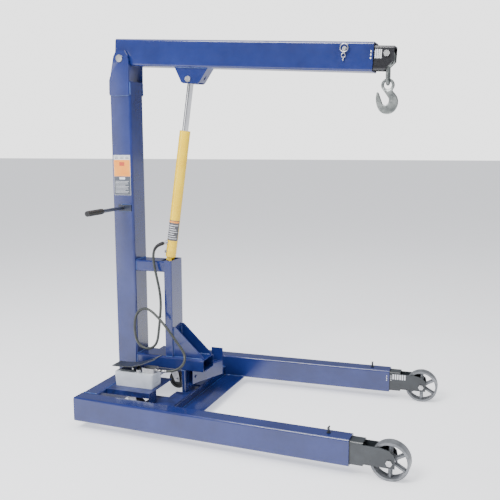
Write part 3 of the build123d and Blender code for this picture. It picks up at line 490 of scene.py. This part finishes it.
label = [wrapped(156, 285, 190, 360, LABEL_R)]
for row in range(7):
    label.append(wrapped(168 + row * 14, 172 + row * 14, 205, 340 - (row % 3) * 18, LABEL_MARK_R))
label.append(wrapped(270, 280, 200, 350, LABEL_MARK_R))
label_films = [0] + [1] * 7 + [2]
label_index = [film for film in label_films for _ in range(LABEL_SIDES)]
new_mesh("ram_label", join(label), [DARK_FILM, PALE_FILM, ORANGE_FILM], "ram_cylinder",
         indices=label_index)

# Index marks on the telescoping tubes

MARK_DEPTH = Vector((0, -0.0003, 0))
DOT = 6
DOT_HEIGHTS = (128, 142, 156)
SLEEVE_FACE = -51.1
EXTENSION_FACE = -42.1


def boom_mark(x0, x1, z0, z1, y):
    corners = [on_boom(x0, y, z0), on_boom(x1, y, z0), on_boom(x1, y, z1), on_boom(x0, y, z1)]
    return slab(corners, MARK_DEPTH)


def leg_mark(x, y, z0, z1, width):
    """One mark on the left leg, which faces the middle of the frame."""
    corners = [on_leg(1, x, y, z0), on_leg(1, x + width, y, z0),
               on_leg(1, x + width, y, z1), on_leg(1, x, y, z1)]
    return slab(corners, MARK_DEPTH)


marks = [boom_mark(1538, 1545, 28 + k * 18, 38 + k * 18, -66.1) for k in range(3)]
new_mesh("boom_marks", join(marks), [WHITE], "boom", smooth=False)
marks = [boom_mark(1561 + k * 10, 1568 + k * 10, 34, 82, -55.1) for k in range(4)]
new_mesh("boom_extension_marks", join(marks), [WHITE], "boom_extension",
         smooth=False)
marks = [leg_mark(1656, SLEEVE_FACE, z, z + DOT, DOT) for z in DOT_HEIGHTS]
new_mesh("leg_marks", join(marks), [WHITE], "frame", smooth=False)
marks = [leg_mark(1683, EXTENSION_FACE, z, z + DOT, DOT) for z in DOT_HEIGHTS]
marks.extend(leg_mark(1696 + k * 15, EXTENSION_FACE, 138, 172, 9) for k in range(6))
new_mesh("leg_extension_marks", join(marks), [PALE_FILM], "leg_extension_left",
         smooth=False)

# Treads on the front wheels

WHEEL_X, WHEEL_Z = 1881, 101.6
TREAD_SIDES = 96
TREAD_WIDEN = 1.004
# Across the tread: distance from the wheel's middle and radius, in millimetres
TREAD_PROFILE = [(-30, 96.5), (-26.5, 100.6), (-24, 101.4), (24, 101.4), (26.5, 100.6), (30, 96.5)]


def tread_ring(hand):
    verts, faces = [], []
    n = len(TREAD_PROFILE)
    for i in range(TREAD_SIDES):
        turn = 2 * math.pi * i / TREAD_SIDES
        for y, r in TREAD_PROFILE:
            verts.append(on_leg(hand, WHEEL_X + math.cos(turn) * r, y * TREAD_WIDEN,
                                WHEEL_Z + math.sin(turn) * r))
    for i in range(TREAD_SIDES):
        for k in range(n - 1):
            a = i * n + k
            b = ((i + 1) % TREAD_SIDES) * n + k
            faces.append((a, a + 1, b + 1, b))
    return verts, faces


for hand, side in ((-1, "right"), (1, "left")):
    tread = new_mesh(f"tread_{side}", tread_ring(hand), [TREAD], f"front_wheel_{side}")
    tread.modifiers.new("thick", "SOLIDIFY").thickness = 0.0006

# Ribs on the rubber grip

GRIP_X, GRIP_Z = 80, 1281
RIB_COUNT = 17
RIB_START_Y, RIB_PITCH = -346, 8
RIB_CENTRE_R = 16.2
RIB_THICKNESS_R = 1.1

ribs = []
for k in range(RIB_COUNT):
    y = RIB_START_Y - k * RIB_PITCH
    path = [world(GRIP_X + math.cos(t) * RIB_CENTRE_R, y, GRIP_Z + math.sin(t) * RIB_CENTRE_R)
            for t in turns(32)]
    ribs.append(sweep(path, [RIB_THICKNESS_R / 1000] * len(path), 6, caps=False))
new_mesh("grip_ribs", join(ribs), [GRIP], "frame")

# Hose, its boot, ferrule and tie

HOSE_SIDES = 20
BOOT_START, BOOT_END = 2, 88
BOOT_R, BOOT_TAPER = 12.0, 4.2
FERRULE_LENGTH, FERRULE_GAP = 44, 4

curve = bpy.data.curves.new("hose_line", "CURVE")
curve.dimensions = "3D"
spline = curve.splines.new("NURBS")
spline.points.add(len(HOSE_ROUTE) - 1)
for point, place in zip(spline.points, HOSE_ROUTE):
    point.co = (*world(*place), 1.0)
spline.order_u = 3
spline.use_endpoint_u = True
spline.resolution_u = 12
line = bpy.data.objects.new("hose_line", curve)
scene.collection.objects.link(line)
centre = bpy.data.meshes.new_from_object(line)
centreline = [vertex.co.copy() for vertex in centre.vertices]
bpy.data.objects.remove(line)
hose_length = sum((b - a).length for a, b in zip(centreline, centreline[1:]))
hose_shape = sweep(centreline, [HOSE_R / 1000] * len(centreline), HOSE_SIDES)
hose_piece = new_mesh("hose_tube", hose_shape, [HOSE], "frame")
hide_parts("hose")


def along(start_mm, end_mm):
    """The part of the hose's centreline between two distances from its start."""
    travelled, out = 0.0, []
    for a, b in zip(centreline, centreline[1:]):
        if start_mm <= travelled * 1000 <= end_mm:
            out.append(a.copy())
        travelled += (b - a).length
    return out


boot_path = along(BOOT_START, BOOT_END)
boot_radii = [(BOOT_R - BOOT_TAPER * i / (len(boot_path) - 1)) / 1000 for i in range(len(boot_path))]
boot = new_mesh("hose_boot", sweep(boot_path, boot_radii, HOSE_SIDES), [GRIP], "frame")
total = hose_length * 1000
ferrule_path = along(total - FERRULE_LENGTH, total - FERRULE_GAP)
ferrule_radii = [0.0095 if i % 3 else 0.0101 for i in range(len(ferrule_path))]
ferrule = new_mesh("hose_ferrule", sweep(ferrule_path, ferrule_radii, HOSE_SIDES), [ZINC],
                   "frame")

tie_path = [world(343 + math.cos(t) * 21, -124 + math.sin(t) * 17, 602 + 3 * math.sin(t))
            for t in turns(28)]
tie_shape = sweep(tie_path, [0.0017] * len(tie_path), 8, caps=False)
tie = new_mesh("hose_tie", tie_shape, [WHITE], "frame")


# Hook and shackle: rounded forgings made from the CAD solids

FORGING_VOXEL = 0.0016


def forged(node_name, body, rounds):
    source = nodes[node_name]
    piece = bpy.data.objects.new(f"{node_name}_forging", source.data.copy())
    scene.collection.objects.link(piece)
    piece.data.materials.clear()
    piece.data.materials.append(FORGED)
    remesh = piece.modifiers.new("remesh", "REMESH")
    remesh.mode = "VOXEL"
    remesh.voxel_size = FORGING_VOXEL
    smooth = piece.modifiers.new("smooth", "SMOOTH")
    smooth.factor = 0.5
    smooth.iterations = rounds
    graph = bpy.context.evaluated_depsgraph_get()
    baked = bpy.data.meshes.new_from_object(piece.evaluated_get(graph))
    piece.modifiers.clear()
    piece.data = baked
    for polygon in piece.data.polygons:
        polygon.use_smooth = True
    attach(piece, body)
    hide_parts(node_name)


forged("hook", "hook", 14)
forged("shackle", "shackle", 5)

# Smooth shading by angle on the CAD nodes
for node in nodes.values():
    for polygon in node.data.polygons:
        polygon.use_smooth = True
    node.data.set_sharp_from_angle(angle=SMOOTH_ANGLE)

# Floor, lights and camera

floor_mat, floor_tree, floor_shader = principled("floor_paint")
floor_shader.inputs["Base Color"].default_value = (0.93, 0.93, 0.94, 1)
floor_shader.inputs["Roughness"].default_value = 0.7
floor_shader.inputs["Emission Color"].default_value = (0.95, 0.96, 1.0, 1)
floor_shader.inputs["Emission Strength"].default_value = 0.8
FLOOR_HALF = 60.0
floor_mesh = bpy.data.meshes.new("floor")
floor_corners = [(-FLOOR_HALF, -FLOOR_HALF, 0), (FLOOR_HALF, -FLOOR_HALF, 0),
                 (FLOOR_HALF, FLOOR_HALF, 0), (-FLOOR_HALF, FLOOR_HALF, 0)]
floor_mesh.from_pydata(floor_corners, [], [(0, 1, 2, 3)])
floor_mesh.materials.append(floor_mat)
floor = bpy.data.objects.new("floor", floor_mesh)
scene.collection.objects.link(floor)

studio = bpy.data.worlds.new("studio")
studio.use_nodes = True
sky = studio.node_tree
fill = sky.nodes["Background"]
fill.inputs["Color"].default_value = (0.90, 0.93, 1.0, 1)
fill.inputs["Strength"].default_value = 0.34
seen = sky.nodes.new("ShaderNodeBackground")
seen.inputs["Color"].default_value = (1.0, 1.0, 1.0, 1)
seen.inputs["Strength"].default_value = 2.6
ray = sky.nodes.new("ShaderNodeLightPath")
blend_sky = sky.nodes.new("ShaderNodeMixShader")
sky.links.new(ray.outputs["Is Camera Ray"], blend_sky.inputs[0])
sky.links.new(fill.outputs[0], blend_sky.inputs[1])
sky.links.new(seen.outputs[0], blend_sky.inputs[2])
sky.links.new(blend_sky.outputs[0], sky.nodes["World Output"].inputs["Surface"])
scene.world = studio


def softbox(name, place, target, width, height, power):
    light = bpy.data.lights.new(name, "AREA")
    light.shape = "RECTANGLE"
    light.size = width
    light.size_y = height
    light.energy = power
    lamp = bpy.data.objects.new(name, light)
    lamp.location = place
    lamp.rotation_euler = (Vector(target) - Vector(place)).to_track_quat("-Z", "Y").to_euler()
    scene.collection.objects.link(lamp)


softbox("key", (-1.4, -4.6, 5.2), (-0.2, 0, 1.0), 2.6, 2.2, 420)
softbox("overhead", (0.2, -0.5, 5.4), (0, 0, 0), 5.0, 5.0, 300)
softbox("sheen", (-4.2, -3.4, 1.2), (-0.6, 0, 0.9), 2.4, 2.8, 60)

CAMERA = (2428.9, -4086.9, 1695.0)
YAW, PITCH, ROLL = math.radians(20.46), math.radians(8.54), math.radians(-0.25)
forward = Vector((-math.sin(YAW) * math.cos(PITCH), math.cos(YAW) * math.cos(PITCH), -math.sin(PITCH)))
level = Vector((math.cos(YAW), math.sin(YAW), 0))
upright = level.cross(forward)
right = level * math.cos(ROLL) + upright * math.sin(ROLL)
up = right.cross(forward)
camera_data = bpy.data.cameras.new("camera")
camera_data.sensor_width = 36.0
camera_data.lens = 52.23
camera = bpy.data.objects.new("camera", camera_data)
rotation = Matrix((right, up, -forward)).transposed().to_4x4()
camera.matrix_world = Matrix.Translation(world(*CAMERA)) @ rotation
scene.collection.objects.link(camera)
scene.camera = camera
